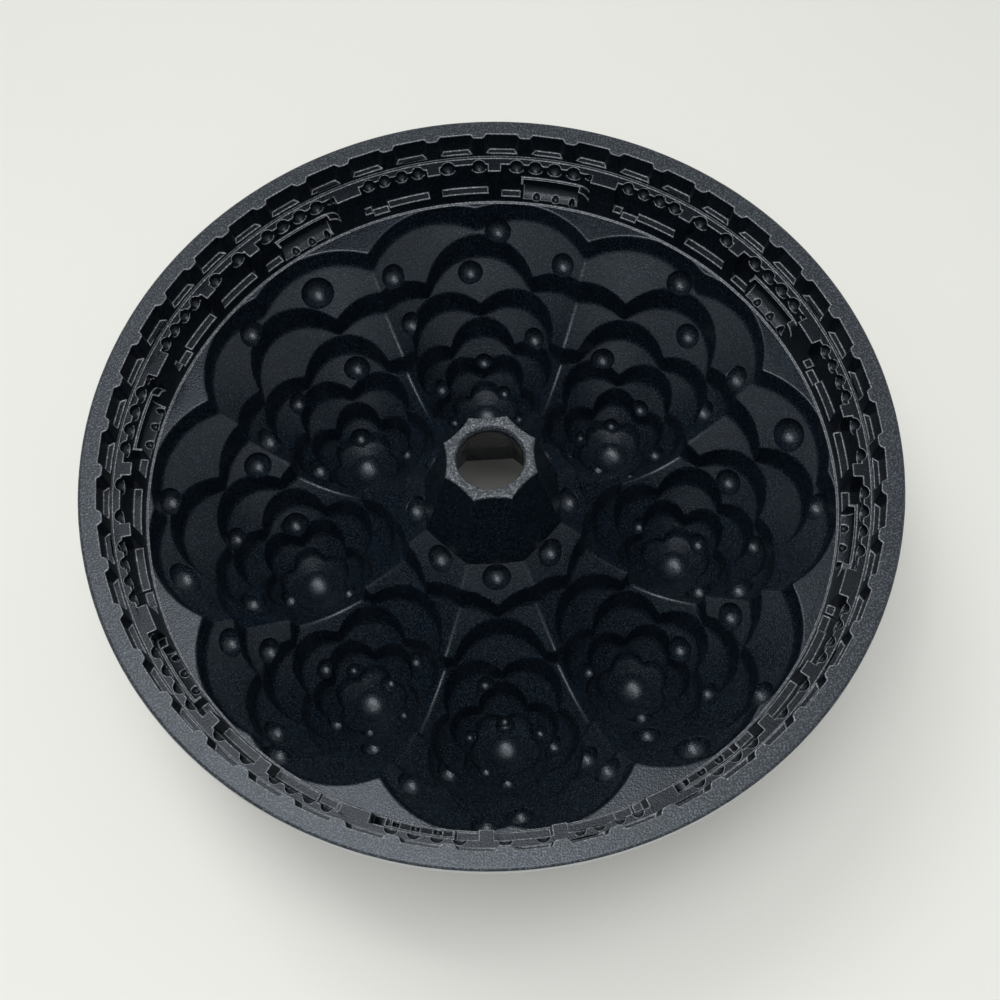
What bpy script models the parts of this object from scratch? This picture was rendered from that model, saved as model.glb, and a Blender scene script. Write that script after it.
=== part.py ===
"""A cast ring pan whose bottom is eight tree-shaped cups round a centre tube.

Lengths are in metres. The pan's axis is Z, the tips of the cups stand on z = 0 and the mouth opens
upwards. Depths are measured down from the flat top of the rim. The casting is modelled as its own
zones, which meet with a small gap.
"""
import math

import bmesh
import bpy
from mathutils import Matrix

MM = 0.001

# Overall casting
RIM_RADIUS = 127 * MM
WALL = 3.0 * MM
GAP = 0.3 * MM
TREES = 8
FACETS_PER_TREE = 9

# Rim and upper wall, which carries the sleeper pockets
FLANGE_WIDTH = 7.5 * MM
FLANGE_THICKNESS = 3.2 * MM
RIM_EDGE_ROUND = 1.2 * MM
UPPER_WALL_DRAFT = 1.0 * MM
LEDGE_DEPTH = 10.0 * MM
SLEEPERS_PER_TREE = 6
SLEEPER_TOP_WIDTH = 11.2 * MM
SLEEPER_FOOT_WIDTH = 8.8 * MM
SLEEPER_DEPTH = 7.6 * MM
SLEEPER_RECESS = 1.6 * MM
SLEEPER_FIRST_ANGLE = 2.75

# Ledge and lower wall, which carries the train pockets
LEDGE_WIDTH = 5.4 * MM
LOWER_WALL_DRAFT = 2.0 * MM
LOWER_WALL_BACKING = 5.0 * MM
DECK_DEPTH = 25.0 * MM
CAR_RECESS = 2.6 * MM
CAR_DEPTH = 20.8 * MM
CAB_DEPTH = 22.2 * MM
RUNNING_BOARD_DEPTH = 15.8 * MM
BOILER_RADIUS = 3.6 * MM
BOILER_SIDES = 8
POCKET_DRAFT = 0.5 * MM
WHEEL_RADIUS = 2.1 * MM
WHEEL_SIDES = 3
WHEEL_DROP = 1.5 * MM
WHEEL_RECESS = 4.4 * MM
# Middle angle and width in degrees of each pocket, within one tree's share of the wall
WAGON_POCKETS = ((1.7, 8.2), (11.7, 7.2), (19.4, 1.4))
SHORT_POCKETS = ((17.0, 2.8), (38.6, 3.4))
LOCO_POCKET = (30.8, 11.5)
WHEEL_ANGLES = (-0.7, 5.0, 9.3, 12.4, 15.6, 18.4, 25.8, 28.3, 31.4, 34.8, 38.0)

# Tree cups: five-lobed tiers, each turned half a lobe from the one above
LOBES = 5
CAVITY_STEPS = 6
SHELL_STEPS = 4
DECK_LIP = 2.6 * MM
SKIRT_OVERLAP = 6.2 * MM
FIRST_LOBE_RISE = 4.6 * MM
FIRST_LOBE_DRAFT = 1.1 * MM
FIRST_CUSP_DRAFT = 1.3 * MM
SECOND_TIER_SET_BACK = 7.3 * MM
LAST_LOBE_RADIUS = 13.1 * MM
CUSP_SHARE = 0.78
LOBE_DRAFT = 1.7 * MM
CUSP_DRAFT = 0.2 * MM
FULL_DRAFT_RADIUS = 17.4 * MM
# Each step is from cusp to cusp; the floors between the walls are cones that rise outwards
SECOND_TIER_STEP = 20.05 * MM
THIRD_TIER_STEP = 15.85 * MM
FOURTH_TIER_STEP = 13.55 * MM
FIFTH_TIER_STEP = 12.85 * MM
SIXTH_TIER_STEP = 11.7 * MM
FLOOR_SLOPE = 0.9
LAST_TIER_WALL = 2.3 * MM
TIP_RADIUS = 7.0 * MM
TIP_SLOPE_DROP = 1.1 * MM
TIP_BOWL_DEPTH = 3.6 * MM
# Shares of the tip's radius and of its bowl's depth, from the bowl's edge to its bottom
TIP_BOWL_RINGS = ((1.0, 0.0), (0.8, 0.6), (0.4, 1.0))
FOOT_RADIUS = 6.0 * MM
MEAN_SLOPE = 45
# Round ornaments sunk into the floors, in two designs that alternate round the pan with their mirror
# images: distance from the tree's axis as a share of the first lobe's radius, angle from the pan's
# outward direction, radius
SKIRT_BALL = (0.835, 180.0, 4.6 * MM)
FIRST_DESIGN = (SKIRT_BALL, (0.877, -10.3, 4.6 * MM), (0.833, 50.0, 4.6 * MM), (0.728, 5.3, 4.4 * MM),
                (0.640, 56.5, 4.4 * MM), (0.510, -51.2, 4.3 * MM))
SECOND_DESIGN = (SKIRT_BALL, (0.845, -29.2, 5.6 * MM), (0.874, 10.2, 4.6 * MM), (0.661, 61.0, 4.7 * MM),
                 (0.536, -44.0, 4.6 * MM), (0.531, 15.4, 3.8 * MM), (0.374, 71.0, 4.6 * MM))
BALL_SIDES = 8
BALL_RINGS = 6
BALL_WALL = 2.4 * MM
BALL_BACK_RINGS = 4

# Centre tube
TUBE_SIDES = 8
TUBE_STEPS = 4
TUBE_TOP_DEPTH = 1.4 * MM
TUBE_TOP_RADIUS = 15.5 * MM
TUBE_FOOT_RADIUS = 23.7 * MM
TUBE_FOOT_DEPTH = 33.0 * MM
TUBE_HEIGHT = 37.2 * MM
TUBE_HOLE_RADIUS = 10.3 * MM
TUBE_TOP_THICKNESS = 3.4 * MM
FLUTE_DEPTH = 0.7 * MM

# Sizes that follow from those above
PITCH = 360 / TREES
FACETS = TREES * FACETS_PER_TREE
UPPER_WALL_RADIUS = RIM_RADIUS - FLANGE_WIDTH
LEDGE_OUTER_RADIUS = UPPER_WALL_RADIUS - UPPER_WALL_DRAFT
LEDGE_INNER_RADIUS = LEDGE_OUTER_RADIUS - LEDGE_WIDTH
DECK_RADIUS = LEDGE_INNER_RADIUS - LOWER_WALL_DRAFT
DECK_UNDERSIDE = DECK_DEPTH + WALL
# The trees fill the ring from the tube's foot, which they reach under, to the deck's lip
RING_WIDTH = DECK_RADIUS - DECK_LIP - (TUBE_FOOT_RADIUS - SKIRT_OVERLAP)
FIRST_CUSP_RADIUS = (RING_WIDTH - FIRST_LOBE_RISE) / 2
FIRST_LOBE_RADIUS = FIRST_CUSP_RADIUS + FIRST_LOBE_RISE
SECOND_LOBE_RADIUS = FIRST_LOBE_RADIUS - SECOND_TIER_SET_BACK
TREE_CIRCLE_RADIUS = DECK_RADIUS - DECK_LIP - FIRST_CUSP_RADIUS
TIER_STEPS = (SECOND_TIER_STEP, THIRD_TIER_STEP, FOURTH_TIER_STEP, FIFTH_TIER_STEP, SIXTH_TIER_STEP)
TIERS = len(TIER_STEPS) + 1
TREE_TAPER = (SECOND_LOBE_RADIUS - LAST_LOBE_RADIUS) / sum(TIER_STEPS[1:])
TIP_TOP_DEPTH = DECK_DEPTH + sum(TIER_STEPS) + LAST_TIER_WALL + TIP_SLOPE_DROP
CAVITY_DEPTH = TIP_TOP_DEPTH + TIP_BOWL_DEPTH
PAN_HEIGHT = CAVITY_DEPTH + WALL
TUBE_FOOT_APOTHEM = TUBE_FOOT_RADIUS * math.cos(math.pi / TUBE_SIDES)


def height(depth):
    """World height of a point at this depth below the rim's top."""
    return PAN_HEIGHT - depth


def clear_scene():
    for obj in list(bpy.data.objects):
        bpy.data.objects.remove(obj, do_unlink=True)


def coated_aluminium(name, colour, roughness):
    material = bpy.data.materials.new(name)
    material.use_nodes = True
    shader = material.node_tree.nodes["Principled BSDF"]
    shader.inputs["Base Color"].default_value = (*colour, 1.0)
    shader.inputs["Roughness"].default_value = roughness
    shader.inputs["Metallic"].default_value = 0.55
    return material


def add_object(name, bm, material=None):
    """Link a bmesh as an object; without a material it is a cutter, which isn't a piece."""
    mesh = bpy.data.meshes.new(name)
    bmesh.ops.recalc_face_normals(bm, faces=bm.faces)
    bm.to_mesh(mesh)
    bm.free()
    obj = bpy.data.objects.new(name, mesh)
    bpy.context.collection.objects.link(obj)
    if material:
        mesh.materials.append(material)
        mesh.shade_smooth()
        mesh.set_sharp_from_angle(angle=math.radians(30))
    else:
        obj.hide_render = True
        obj.display_type = "WIRE"
    return obj


def add_boolean(obj, cutter, operation):
    modifier = obj.modifiers.new(f"{operation.lower()}_{cutter.name}", "BOOLEAN")
    modifier.operation = operation
    modifier.solver = "EXACT"
    modifier.object = cutter


def loft(rings, ring_closed=False):
    """Skin a stack of rings, each a list of points; the ends are capped, or joined to each other.

    Lobed rings give bent quads, so each is split along its shorter diagonal, alike on both sides
    of a lobe.
    """
    bm = bmesh.new()
    loops = [[bm.verts.new(point) for point in ring] for ring in rings]
    pairs = list(zip(loops, loops[1:]))
    if ring_closed:
        pairs.append((loops[-1], loops[0]))
    for upper, lower in pairs:
        for i, vert in enumerate(upper):
            j = (i + 1) % len(upper)
            bm.faces.new((vert, upper[j], lower[j], lower[i]))
    bmesh.ops.triangulate(bm, faces=bm.faces, quad_method="SHORT_EDGE")
    if not ring_closed:
        bm.faces.new(loops[0])
        bm.faces.new(loops[-1])
    return bm


def turned_ring(profile):
    """Turn a closed profile of (radius, depth) points round the pan's axis."""
    start = math.radians(-PITCH / 2)
    rings = []
    for radius, depth in profile:
        ring = []
        for i in range(FACETS):
            angle = start + math.tau * i / FACETS
            ring.append((radius * math.cos(angle), radius * math.sin(angle), height(depth)))
        rings.append(ring)
    return loft(rings, ring_closed=True)


def add_tapered_box(bm, angle, inner, depths, widths, backs):
    """Add a box that narrows downwards; each pair of values is for its top and its foot."""
    turn = Matrix.Rotation(math.radians(angle), 4, "Z")
    corners = []
    for depth, width, back in zip(depths, widths, backs):
        z = height(depth)
        half = width / 2
        for x, y in ((inner, -half), (back, -half), (back, half), (inner, half)):
            corners.append(bm.verts.new(turn @ Matrix.Translation((x, y, z)).translation))
    top, foot = corners[:4], corners[4:]
    bm.faces.new(top)
    bm.faces.new(foot)
    for i in range(4):
        j = (i + 1) % 4
        bm.faces.new((top[i], top[j], foot[j], foot[i]))


def sleeper_cutter():
    bm = bmesh.new()
    above_rim = -WALL
    count = TREES * SLEEPERS_PER_TREE
    inner = LEDGE_INNER_RADIUS
    back_top = UPPER_WALL_RADIUS + SLEEPER_RECESS
    back_foot = back_top - UPPER_WALL_DRAFT * SLEEPER_DEPTH / LEDGE_DEPTH
    for i in range(count):
        angle = SLEEPER_FIRST_ANGLE + 360 * i / count
        add_tapered_box(bm, angle, inner, (above_rim, SLEEPER_DEPTH),
                        (SLEEPER_TOP_WIDTH, SLEEPER_FOOT_WIDTH), (back_top, back_foot))
    return add_object("sleeper_cutter", bm)


def lower_wall_radius(depth):
    """Inner radius of the lower wall at this depth."""
    share = (depth - LEDGE_DEPTH) / (DECK_DEPTH - LEDGE_DEPTH)
    return LEDGE_INNER_RADIUS - LOWER_WALL_DRAFT * share


def add_car_pocket(bm, middle, width, depth, recess):
    """A pocket open at the ledge, with its foot at this depth and set back by the recess."""
    chord = 2 * LEDGE_INNER_RADIUS * math.sin(math.radians(width) / 2)
    back = lower_wall_radius(depth) + recess
    above_ledge = LEDGE_DEPTH - WALL
    add_tapered_box(bm, middle, DECK_RADIUS - WALL, (above_ledge, depth),
                    (chord + POCKET_DRAFT, chord), (back + 2 * POCKET_DRAFT, back))


def add_boiler(bm, middle, width):
    """The locomotive's boiler: a round bar along the wall, below the running board."""
    chord = 2 * LEDGE_INNER_RADIUS * math.sin(math.radians(width) / 2)
    axis_depth = RUNNING_BOARD_DEPTH + BOILER_RADIUS / 2
    centre = lower_wall_radius(axis_depth)
    place = (Matrix.Rotation(math.radians(middle), 4, "Z")
             @ Matrix.Translation((centre, 0, height(axis_depth)))
             @ Matrix.Rotation(math.pi / 2, 4, "X"))
    bmesh.ops.create_cone(bm, cap_ends=True, segments=BOILER_SIDES, radius1=BOILER_RADIUS,
                          radius2=BOILER_RADIUS, depth=chord, matrix=place)


def add_wheel(bm, angle):
    """A round-bottomed slot, open at the ledge, for one wheel."""
    turn = Matrix.Rotation(math.radians(angle), 4, "Z")
    centre = height(LEDGE_DEPTH + WHEEL_DROP)
    outline = [(-WHEEL_RADIUS, height(LEDGE_DEPTH - WALL))]
    for i in range(WHEEL_SIDES + 1):
        swing = math.pi + math.pi * i / WHEEL_SIDES
        outline.append((WHEEL_RADIUS * math.cos(swing), centre + WHEEL_RADIUS * math.sin(swing)))
    outline.append((WHEEL_RADIUS, height(LEDGE_DEPTH - WALL)))
    ends = []
    for x in (DECK_RADIUS - WALL, LEDGE_INNER_RADIUS + WHEEL_RECESS):
        ends.append([bm.verts.new(turn @ Matrix.Translation((x, y, z)).translation) for y, z in outline])
    bm.faces.new(ends[0])
    bm.faces.new(ends[1])
    for i in range(len(outline)):
        j = (i + 1) % len(outline)
        bm.faces.new((ends[0][i], ends[0][j], ends[1][j], ends[1][i]))


def train_cutters():
    """One cutter for the pockets, one for the boilers and one for the wheels."""
    pockets = bmesh.new()
    boilers = bmesh.new()
    wheels = bmesh.new()
    for tree in range(TREES):
        start = PITCH * tree
        for middle, width in WAGON_POCKETS:
            add_car_pocket(pockets, start + middle, width, CAR_DEPTH, CAR_RECESS)
        for middle, width in SHORT_POCKETS:
            add_car_pocket(pockets, start + middle, width, CAB_DEPTH, CAR_RECESS)
        middle, width = LOCO_POCKET
        add_car_pocket(pockets, start + middle, width, RUNNING_BOARD_DEPTH, CAR_RECESS)
        add_boiler(boilers, start + middle, width)
        for angle in WHEEL_ANGLES:
            add_wheel(wheels, start + angle)
    return [add_object("pocket_cutter", pockets), add_object("boiler_cutter", boilers),
            add_object("wheel_cutter", wheels)]


def lobed_radius(angle, cusp, lobe, lobe_outward):
    """Radius of a five-lobed outline of round arcs; angle 0 points away from the pan's axis."""
    half = math.pi / LOBES
    start = 0 if lobe_outward else half
    swing = (angle - start + half) % (2 * half) - half
    arc_centre = (lobe ** 2 - cusp ** 2) / (2 * (lobe - cusp * math.cos(half)))
    arc_radius = lobe - arc_centre
    return (arc_centre * math.cos(swing)
            + math.sqrt(arc_radius ** 2 - (arc_centre * math.sin(swing)) ** 2))


def tier_outlines():
    """Cusp radius, lobe radius and turn of each tier's edge and of its wall's foot, with its floor.

    A floor is a cone, kept as a radius, its depth there and its slope. A tier's edge lies on the
    floor above it and its wall's foot on the floor below.
    """
    outlines = []
    depth = DECK_DEPTH
    floor = (0, DECK_DEPTH, 0)
    for tier in range(TIERS):
        outward = tier % 2 == 1
        if tier == 0:
            lobe, cusp = FIRST_LOBE_RADIUS, FIRST_CUSP_RADIUS
            foot_lobe, foot_cusp = lobe - FIRST_LOBE_DRAFT, cusp - FIRST_CUSP_DRAFT
        else:
            below_second = depth - DECK_DEPTH - TIER_STEPS[0]
            lobe = SECOND_LOBE_RADIUS - TREE_TAPER * below_second
            cusp = lobe * CUSP_SHARE
            draft = min(1, lobe / FULL_DRAFT_RADIUS)
            foot_lobe, foot_cusp = lobe - LOBE_DRAFT * draft, cusp - CUSP_DRAFT * draft
        if tier < TIERS - 1:
            depth += TIER_STEPS[tier]
            below = (SECOND_LOBE_RADIUS - TREE_TAPER * (depth - DECK_DEPTH - TIER_STEPS[0])) * CUSP_SHARE
            floor_below = (below, depth, FLOOR_SLOPE)
        else:
            floor_below = (0, depth + LAST_TIER_WALL, 0)
        outlines.append(((cusp, lobe, outward, floor), (foot_cusp, foot_lobe, outward, floor_below)))
        floor = floor_below
    return outlines


def outline_point(outlines, tier, at_foot, angle):
    """Radius and depth of a tier's edge or foot at this angle.

    Where the next tier's edge stands out past this wall's foot, the foot follows it, so that
    the cake can be drawn straight out.
    """
    cusp, lobe, outward, (floor_radius, floor_depth_there, slope) = outlines[tier][at_foot]
    radius = lobed_radius(angle, cusp, lobe, outward)
    if at_foot and tier < TIERS - 1:
        below = outlines[tier + 1][0]
        radius = max(radius, lobed_radius(angle, below[0], below[1], below[2]))
    return radius, floor_depth_there - slope * (radius - floor_radius)


def cup_rings(steps, offset, drop):
    """Rings of one tree cup, moved out by the offset and down by the drop."""
    outlines = tier_outlines()
    angles = [math.tau * i / (LOBES * steps) for i in range(LOBES * steps)]
    rings = []
    for tier in range(TIERS):
        for at_foot in (False, True):
            ring = []
            for angle in angles:
                radius, depth = outline_point(outlines, tier, at_foot, angle)
                radius += offset
                ring.append((TREE_CIRCLE_RADIUS + radius * math.cos(angle),
                             radius * math.sin(angle), height(depth + drop)))
            rings.append(ring)
    return rings, angles


def round_ring(angles, radius, depth):
    """A round ring about the tree's axis."""
    return [(TREE_CIRCLE_RADIUS + radius * math.cos(angle), radius * math.sin(angle), height(depth))
            for angle in angles]


def tree_cavity():
    rings, angles = cup_rings(CAVITY_STEPS, 0, 0)
    lifted = [(x, y, height(DECK_DEPTH - WALL)) for x, y, _ in rings[0]]
    bowl = [round_ring(angles, TIP_RADIUS * width, TIP_TOP_DEPTH + TIP_BOWL_DEPTH * drop)
            for width, drop in TIP_BOWL_RINGS]
    return add_object("tree_cavity", loft([lifted] + rings + bowl))


def tree_shell():
    """The outside of one cup, which follows the tiers about a wall's thickness away."""
    drop = WALL * math.tan(math.radians(MEAN_SLOPE / 2))
    rings, angles = cup_rings(SHELL_STEPS, WALL, drop)
    foot = [round_ring(angles, FOOT_RADIUS, PAN_HEIGHT)]
    return loft(rings + foot)


def floor_depth(radius, angle):
    """Depth of the cavity's surface at this distance from the tree's axis."""
    outlines = tier_outlines()
    corners = [outline_point(outlines, tier, at_foot, angle)
               for tier in range(TIERS) for at_foot in (False, True)]
    corners.append((TIP_RADIUS, TIP_TOP_DEPTH))
    for (outer, upper), (inner, lower) in zip(corners, corners[1:]):
        if outer > radius >= inner:
            return upper + (lower - upper) * (outer - radius) / (outer - inner)
    return TIP_TOP_DEPTH


def add_balls(cup, balls, operation, wall, rings):
    """Join or cut the balls one at a time, each made larger by the wall."""
    for share, degrees, size in balls:
        angle = math.radians(degrees)
        distance = FIRST_LOBE_RADIUS * share
        centre = (TREE_CIRCLE_RADIUS + distance * math.cos(angle), distance * math.sin(angle),
                  height(floor_depth(distance, angle)))
        bm = bmesh.new()
        bmesh.ops.create_uvsphere(bm, u_segments=BALL_SIDES, v_segments=rings, radius=size + wall,
                                  matrix=Matrix.Translation(centre))
        add_boolean(cup, add_object("ball", bm), operation)


def tree_wedge():
    """One tree's share of the pan, short of its neighbours, the tube and the lower wall."""
    inner = TUBE_FOOT_APOTHEM + GAP
    outer = DECK_RADIUS - GAP
    side = GAP / 2
    slope = math.tan(math.radians(PITCH / 2))
    outline = [(inner, -(inner * slope - side)), (inner, inner * slope - side)]
    for i in range(FACETS_PER_TREE + 1):
        angle = math.radians(PITCH / 2 - PITCH * i / FACETS_PER_TREE)
        x, y = outer * math.cos(angle), outer * math.sin(angle)
        limit = x * slope - side
        outline.append((x, max(-limit, min(limit, y))))
    rings = [[(x, y, height(depth)) for x, y in outline] for depth in (-WALL, PAN_HEIGHT + WALL)]
    return add_object("tree_wedge", loft(rings))


def deck_disc():
    """The flat deck round the trees' mouths."""
    angles = [math.tau * i / FACETS for i in range(FACETS)]
    radius = UPPER_WALL_RADIUS
    rings = [[(radius * math.cos(angle), radius * math.sin(angle), height(depth)) for angle in angles]
             for depth in (DECK_DEPTH, DECK_UNDERSIDE)]
    return add_object("deck_disc", loft(rings))


def cup_mesh(material, balls):
    """One finished cup in the pan's +X direction."""
    model = add_object("cup_model", tree_shell(), material)
    add_balls(model, balls, "UNION", BALL_WALL, BALL_BACK_RINGS)
    add_boolean(model, deck_disc(), "UNION")
    add_boolean(model, tree_wedge(), "INTERSECT")
    add_boolean(model, tree_cavity(), "DIFFERENCE")
    add_balls(model, balls, "DIFFERENCE", 0, BALL_RINGS)
    bpy.context.view_layer.update()
    graph = bpy.context.evaluated_depsgraph_get()
    mesh = bpy.data.meshes.new_from_object(model.evaluated_get(graph))
    mesh.name = "tree_cup"
    bpy.data.objects.remove(model, do_unlink=True)
    return mesh


def mirror_image(mesh):
    """The same cup with its left and right exchanged."""
    image = mesh.copy()
    bm = bmesh.new()
    bm.from_mesh(image)
    bmesh.ops.scale(bm, vec=(1, -1, 1), verts=bm.verts)
    bmesh.ops.reverse_faces(bm, faces=bm.faces)
    bm.to_mesh(image)
    bm.free()
    return image


def build_tree_cups(material):
    """Make the two designs and their mirror images, and set them in turn round the pan."""
    first = cup_mesh(material, FIRST_DESIGN)
    second = cup_mesh(material, SECOND_DESIGN)
    order = (mirror_image(second), mirror_image(first), first, second)
    for tree in range(TREES):
        cup = bpy.data.objects.new(f"tree_cup_{tree + 1}", order[tree % len(order)])
        cup.rotation_euler.z = math.radians(PITCH * tree)
        bpy.context.collection.objects.link(cup)


def build_rim_flange(material, sleepers):
    inner = UPPER_WALL_RADIUS
    outer = RIM_RADIUS
    round_off = RIM_EDGE_ROUND
    profile = [(inner, 0), (outer - round_off, 0), (outer, round_off),
               (outer, FLANGE_THICKNESS - round_off), (outer - round_off, FLANGE_THICKNESS),
               (inner, FLANGE_THICKNESS)]
    flange = add_object("rim_flange", turned_ring(profile), material)
    add_boolean(flange, sleepers, "DIFFERENCE")


def build_sleeper_band(material, sleepers):
    top = FLANGE_THICKNESS + GAP
    foot = LEDGE_DEPTH - GAP
    draft = UPPER_WALL_DRAFT / LEDGE_DEPTH
    outer = UPPER_WALL_RADIUS + SLEEPER_RECESS + WALL
    profile = [(UPPER_WALL_RADIUS - draft * top, top), (outer, top), (outer - draft * foot, foot),
               (UPPER_WALL_RADIUS - draft * foot, foot)]
    band = add_object("sleeper_band", turned_ring(profile), material)
    add_boolean(band, sleepers, "DIFFERENCE")


def build_train_band(material):
    outer = LEDGE_OUTER_RADIUS + WALL
    foot_radius = lower_wall_radius(DECK_UNDERSIDE)
    profile = [(LEDGE_INNER_RADIUS, LEDGE_DEPTH), (outer, LEDGE_DEPTH),
               (foot_radius + CAR_RECESS + LOWER_WALL_BACKING, DECK_UNDERSIDE),
               (DECK_RADIUS, DECK_UNDERSIDE), (DECK_RADIUS, DECK_DEPTH)]
    band = add_object("train_band", turned_ring(profile), material)
    for cutter in train_cutters():
        add_boolean(band, cutter, "DIFFERENCE")


def tube_ring(corner_radius, flute, depth):
    """An eight-sided ring whose sides bow inwards by the flute's depth."""
    ring = []
    for side in range(TUBE_SIDES):
        first = math.tau * (side - 0.5) / TUBE_SIDES
        second = math.tau * (side + 0.5) / TUBE_SIDES
        middle = (first + second) / 2
        for step in range(TUBE_STEPS):
            t = step / TUBE_STEPS
            bow = flute * math.sin(math.pi * t)
            x = corner_radius * ((1 - t) * math.cos(first) + t * math.cos(second)) - bow * math.cos(middle)
            y = corner_radius * ((1 - t) * math.sin(first) + t * math.sin(second)) - bow * math.sin(middle)
            ring.append((x, y, height(depth)))
    return ring


def hole_ring(depth):
    """The round hole, with as many points as the tube's rings and in line with them."""
    count = TUBE_SIDES * TUBE_STEPS
    start = -math.pi / TUBE_SIDES
    angles = [start + math.tau * i / count for i in range(count)]
    return [(TUBE_HOLE_RADIUS * math.cos(angle), TUBE_HOLE_RADIUS * math.sin(angle), height(depth))
            for angle in angles]


def build_centre_tube(material):
    web_depth = TUBE_TOP_DEPTH + TUBE_TOP_THICKNESS
    bottom = TUBE_TOP_DEPTH + TUBE_HEIGHT
    widening = (TUBE_FOOT_RADIUS - TUBE_TOP_RADIUS) / (TUBE_FOOT_DEPTH - TUBE_TOP_DEPTH)
    bore_top = TUBE_TOP_RADIUS + widening * TUBE_TOP_THICKNESS - WALL
    inner_foot = TUBE_FOOT_RADIUS - WALL
    rings = [hole_ring(TUBE_TOP_DEPTH),
             tube_ring(TUBE_TOP_RADIUS, FLUTE_DEPTH, TUBE_TOP_DEPTH),
             tube_ring(TUBE_FOOT_RADIUS, 0, TUBE_FOOT_DEPTH),
             tube_ring(TUBE_FOOT_RADIUS, 0, bottom),
             tube_ring(inner_foot, 0, bottom),
             tube_ring(inner_foot, 0, TUBE_FOOT_DEPTH),
             tube_ring(bore_top, FLUTE_DEPTH, web_depth),
             hole_ring(web_depth)]
    add_object("centre_tube", loft(rings, ring_closed=True), material)


def main():
    clear_scene()
    rim_coat = coated_aluminium("satin_rim_coat", (0.17, 0.17, 0.175), 0.45)
    inner_coat = coated_aluminium("satin_inner_coat", (0.055, 0.057, 0.065), 0.4)
    sleepers = sleeper_cutter()
    build_rim_flange(rim_coat, sleepers)
    build_sleeper_band(inner_coat, sleepers)
    build_train_band(inner_coat)
    build_tree_cups(inner_coat)
    build_centre_tube(rim_coat)


main()
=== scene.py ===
# %% [markdown]
# A ring cake pan with tree cups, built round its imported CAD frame
#
# The real pan is one aluminium casting with a dark non-stick coat. Eight tree-shaped cups stand round
# a centre tube, and the wall above them carries a railway in relief: sleepers, and below them a toy
# train. The frame gives every piece its place; this script gives the pieces their fine shape, their
# finish and the light.

# %% Load the frame
import math

import bmesh
import bpy
from mathutils import Matrix, Vector


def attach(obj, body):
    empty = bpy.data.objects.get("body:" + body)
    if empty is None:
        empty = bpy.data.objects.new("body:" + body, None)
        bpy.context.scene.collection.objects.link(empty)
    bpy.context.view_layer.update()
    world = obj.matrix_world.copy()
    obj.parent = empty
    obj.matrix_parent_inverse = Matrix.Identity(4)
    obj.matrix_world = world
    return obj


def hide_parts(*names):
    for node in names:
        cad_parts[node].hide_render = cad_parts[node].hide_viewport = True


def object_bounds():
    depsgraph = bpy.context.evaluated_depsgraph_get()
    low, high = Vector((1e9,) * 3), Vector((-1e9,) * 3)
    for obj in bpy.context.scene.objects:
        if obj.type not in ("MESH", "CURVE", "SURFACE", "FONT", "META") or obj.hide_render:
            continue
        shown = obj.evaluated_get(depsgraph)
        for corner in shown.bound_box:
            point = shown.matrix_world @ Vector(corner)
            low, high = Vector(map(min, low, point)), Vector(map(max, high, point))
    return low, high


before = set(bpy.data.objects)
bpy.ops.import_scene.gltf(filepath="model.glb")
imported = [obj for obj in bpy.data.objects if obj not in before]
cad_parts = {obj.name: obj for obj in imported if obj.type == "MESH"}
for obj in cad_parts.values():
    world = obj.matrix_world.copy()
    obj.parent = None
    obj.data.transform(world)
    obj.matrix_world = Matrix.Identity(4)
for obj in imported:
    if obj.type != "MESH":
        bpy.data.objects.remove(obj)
cad_low, cad_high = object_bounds()
MM = 0.001
RIM_TOP = cad_high[2]
RIM_RADIUS = (cad_high[0] - cad_low[0]) / 2
TREES = 8
PITCH = math.tau / TREES
print("rim radius", round(RIM_RADIUS / MM, 2), "mm, height", round(RIM_TOP / MM, 2), "mm")

# %% [markdown]
# The camera stands where the photograph was taken from, high on the near side of the table. Its place
# was solved from the round rim, the deck and the eightfold pattern. The picture's middle misses the
# pan's middle a little, which is a small sideways step of the camera, so the lens needs no shift.

# %% Camera
VIEW_DISTANCE = 478.0 * MM
VIEW_ELEVATION = 65.80
VIEW_ROLL = -1.902
VIEW_TURN = -1.341
SIDE_STEP = 3.0 * MM
UP_STEP = -13.8 * MM
LENS = 55.96


def add_camera():
    """Aim the photograph's camera at the middle of the rim, then step it sideways."""
    tilt = math.radians(90 - VIEW_ELEVATION)
    turn = Matrix.Rotation(math.radians(VIEW_TURN), 4, "Z") @ Matrix.Rotation(tilt, 4, "X")
    turn = turn @ Matrix.Rotation(math.radians(VIEW_ROLL), 4, "Z")
    camera = bpy.data.objects.new("photo_camera", bpy.data.cameras.new("photo_camera"))
    camera.data.lens = LENS
    camera.data.clip_start = 10 * MM
    back_off = Matrix.Translation((SIDE_STEP, UP_STEP, VIEW_DISTANCE))
    camera.matrix_world = Matrix.Translation((0, 0, RIM_TOP)) @ turn @ back_off
    bpy.context.collection.objects.link(camera)
    bpy.context.scene.camera = camera
    return camera


camera = add_camera()
print("camera at", [round(value, 4) for value in camera.matrix_world.translation])

# %% [markdown]
# Some small helpers come first. Depths are measured down from the rim's top, as on a drawing of the
# pan. A ring of edges is extruded again and again to follow a section, a boolean is applied at once so
# that the mesh that is kept is the finished one, and every finished piece gets even normals.

# %% Helpers for making meshes
SHARP_ANGLE = 38


def height(depth):
    """World height of a point at this depth below the rim's top."""
    return RIM_TOP - depth


def on_circle(radius, angle, depth, centre=0.0):
    return Vector((centre + radius * math.cos(angle), radius * math.sin(angle), height(depth)))


def new_object(name, bm):
    """Turn a bmesh into an object at the origin, with its faces outwards."""
    bmesh.ops.recalc_face_normals(bm, faces=bm.faces)
    mesh = bpy.data.meshes.new(name)
    bm.to_mesh(mesh)
    bm.free()
    obj = bpy.data.objects.new(name, mesh)
    bpy.context.collection.objects.link(obj)
    return obj


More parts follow.
